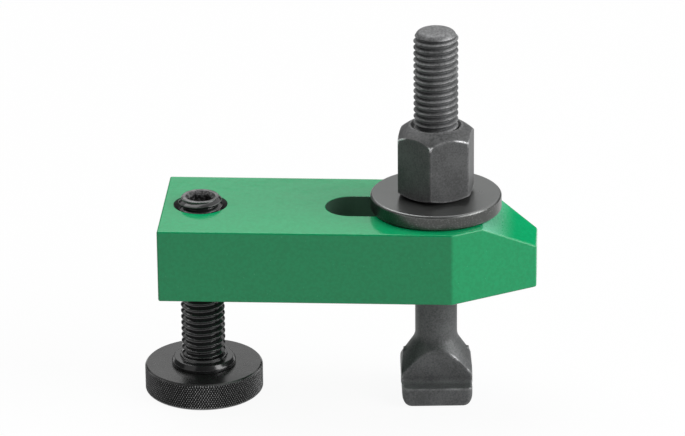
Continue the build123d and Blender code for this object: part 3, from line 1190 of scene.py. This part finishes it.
class CLAMP_OT_nut(Operator):
    """Model the tall nut: crowned top, chamfered seat and threaded bore"""

    bl_idname = "clamp.nut"
    bl_label = "Tall nut"

    def execute(self, context):
        size, thread = context.scene.clamp_nut, context.scene.clamp_thread
        low, high = NUT_LOW.z, NUT_HIGH.z
        corner = hexagon_corner(size.across_flats)
        nut = prism("hex_nut_dressed", 6, corner, low, high, size.set_angle)
        bevel_where(nut, rises, size.edge, EDGE_STEPS)
        blank = corner + CUT_ALLOWANCE
        seat_rise = (blank - size.seat_radius) * math.tan(size.seat_angle)
        # The crown's arc runs from outside the corners to the flat in its middle
        crown_centre = high - math.sqrt(size.crown_radius**2 - size.crown_flat**2)
        first = math.asin(size.crown_flat / size.crown_radius)
        last = math.asin(blank / size.crown_radius)
        angles = [last + (first - last) * step / size.crown_steps for step in range(size.crown_steps + 1)]
        crown = [
            (size.crown_radius * math.sin(angle), crown_centre + size.crown_radius * math.cos(angle))
            for angle in angles
        ]
        envelope = turn(
            "nut_envelope",
            [(0, low), (size.seat_radius, low), (blank, low + seat_rise), *crown, (0, high)],
            thread.steps,
        )
        combine(nut, envelope, "INTERSECT")
        mouth = thread.radius + thread.play + size.mouth
        tap_hole(nut, thread, low, high, mouth, set_on=thread.stud_turn)
        smooth(nut, 25.0)

        tones = context.scene.clamp_tones
        shoulder = crown_centre + math.sqrt(size.crown_radius**2 - (size.across_flats / 2) ** 2)
        # Rubbed bright round the crown: the right side, the left corner and the front corner
        spots = (
            (0.7 * corner, -0.7 * corner, shoulder, 3.4 * MM),
            (-0.88 * corner, -0.48 * corner, shoulder - MM, 2.6 * MM),
            (-0.1 * corner, -corner, shoulder - 1.5 * MM, 1.2 * MM),
        )
        material = phosphated_steel(
            "phosphated_nut", tones, tones.phosphate, thread, high, (shoulder, 0.08, 1.0), spots
        )
        hand_over(nut, "hex_nut", "nut", material)
        return {"FINISHED"}


class CLAMP_OT_washer(Operator):
    """Model the thick washer"""

    bl_idname = "clamp.washer"
    bl_label = "Washer"

    def execute(self, context):
        size, thread = context.scene.clamp_washer, context.scene.clamp_thread
        low, high = WASHER_LOW.z, WASHER_HIGH.z
        radius = (WASHER_HIGH.x - WASHER_LOW.x) / 2
        washer = turn(
            "washer_dressed",
            [
                (size.bore_radius, low), (radius - size.chamfer, low), (radius, low + size.chamfer),
                (radius, high - size.chamfer), (radius - size.chamfer, high), (size.bore_radius, high),
                (size.bore_radius, low),
            ],
            2 * thread.steps,
        )
        round_corners(washer, size.edge)
        smooth(washer, 30.0)
        steel = washer_steel(context.scene.clamp_tones, radius)
        hand_over(washer, "washer", "washer", steel)
        return {"FINISHED"}


class CLAMP_OT_stage(Operator):
    """Set the floor, the lamps, the surrounding light and the camera"""

    bl_idname = "clamp.stage"
    bl_label = "Stage"

    def execute(self, context):
        stage, tones = context.scene.clamp_stage, context.scene.clamp_tones
        target = Vector((stage.target_x, 0, stage.target_z))
        take()
        bpy.ops.mesh.primitive_plane_add(size=stage.floor_size, location=(0, 0, 0))
        floor = added("floor")
        floor.data.materials.append(floor_surface(tones, stage.glow))

        for name in ("key", "fill", "back"):
            offset = Vector(getattr(stage, name + "_place"))
            aim = (-offset).to_track_quat("-Z", "Y")
            bpy.ops.object.light_add(type="AREA", location=target + offset, rotation=aim.to_euler())
            lamp = bpy.context.object
            lamp.name = name + "_lamp"
            lamp.data.size = stage.lamp_width
            # Power at which a white surface that faces the lamp from the target shows its level
            lamp.data.energy = getattr(stage, name + "_level") * math.pi**2 * offset.length_squared

        turned, flat = stage.azimuth, math.cos(stage.elevation)
        back = Vector((math.sin(turned) * flat, -math.cos(turned) * flat, math.sin(stage.elevation)))
        look = (-back).to_track_quat("-Z", "Y") @ Quaternion((0, 0, 1), stage.roll)
        bpy.ops.object.camera_add(location=target + stage.distance * back, rotation=look.to_euler())
        camera = bpy.context.object
        camera.name = "camera"
        camera.data.lens = stage.lens
        camera.data.clip_end = stage.sight
        bpy.context.scene.camera = camera
        context.scene.view_settings.view_transform = "Standard"
        self.set_sky(context.scene, stage)
        return {"FINISHED"}

    def set_sky(self, scene, stage):
        """White surroundings, dark at the front left and near the horizon, and dimmer on dull surfaces."""
        world = bpy.data.worlds.new("studio")
        world.use_nodes = True
        scene.world = world
        sky = Nodes(world.node_tree, "ShaderNodeOutputWorld")
        parts = sky.add("ShaderNodeSeparateXYZ", None, {0: sky.coordinates.outputs["Generated"]}).outputs
        x, y, z = (Wire(sky, part) for part in parts)
        # From nearly -1 at the front left to nearly 1 at the back right
        back_right = x * 0.5 + y * 0.85
        bright = back_right.ramp(-0.65, 0.6) * z.ramp(0.29, 0.36)
        low = stage.sky_low * (1.0 - (1.0 - stage.sky_back) * back_right.ramp(0.2, 0.6))
        shade = low + (1.0 - low) * bright
        level = shade * sky.mirrored().math("MAXIMUM", stage.sky)
        black = sky.add("ShaderNodeBackground", None, {"Color": (0, 0, 0)})
        white = sky.add("ShaderNodeBackground", None, {"Color": (1, 1, 1)})
        sky.show(sky.blend(level.math("MAXIMUM", sky.ray("Is Camera Ray")), black, white))


GROUPS = {
    "clamp_thread": ClampThread,
    "clamp_strap": ClampStrap,
    "clamp_screw": ClampScrew,
    "clamp_foot": ClampFoot,
    "clamp_bolt": ClampBolt,
    "clamp_nut": ClampNut,
    "clamp_washer": ClampWasher,
    "clamp_tones": ClampTones,
    "clamp_stage": ClampStage,
}
OPERATORS = (
    CLAMP_OT_strap,
    CLAMP_OT_screw,
    CLAMP_OT_foot,
    CLAMP_OT_bolt,
    CLAMP_OT_washer,
    CLAMP_OT_nut,
    CLAMP_OT_stage,
)


class CLAMP_PT_panel(Panel):
    """Lists the clamp's pieces and their sizes"""

    bl_idname = "CLAMP_PT_panel"
    bl_label = "Strap clamp"
    bl_space_type = "VIEW_3D"
    bl_region_type = "UI"
    bl_category = "Clamp"

    def draw(self, context):
        for operator in OPERATORS:
            self.layout.operator(operator.bl_idname)
        for group in GROUPS:
            sizes = getattr(context.scene, group)
            box = self.layout.box()
            for name in sizes.__annotations__:
                box.prop(sizes, name)


def register():
    """Registers the property groups, the operators and the panel."""
    for name, group in GROUPS.items():
        bpy.utils.register_class(group)
        setattr(bpy.types.Scene, name, PointerProperty(type=group))
    for operator in OPERATORS:
        bpy.utils.register_class(operator)
    bpy.utils.register_class(CLAMP_PT_panel)


def unregister():
    """Takes back what register did."""
    bpy.utils.unregister_class(CLAMP_PT_panel)
    for operator in reversed(OPERATORS):
        bpy.utils.unregister_class(operator)
    for name, group in reversed(GROUPS.items()):
        delattr(bpy.types.Scene, name)
        bpy.utils.unregister_class(group)


def main():
    """Builds every piece and the stage."""
    register()
    bpy.ops.clamp.strap()
    bpy.ops.clamp.screw()
    bpy.ops.clamp.foot()
    bpy.ops.clamp.bolt()
    bpy.ops.clamp.washer()
    bpy.ops.clamp.nut()
    bpy.ops.clamp.stage()


if __name__ == "__main__":
    main()
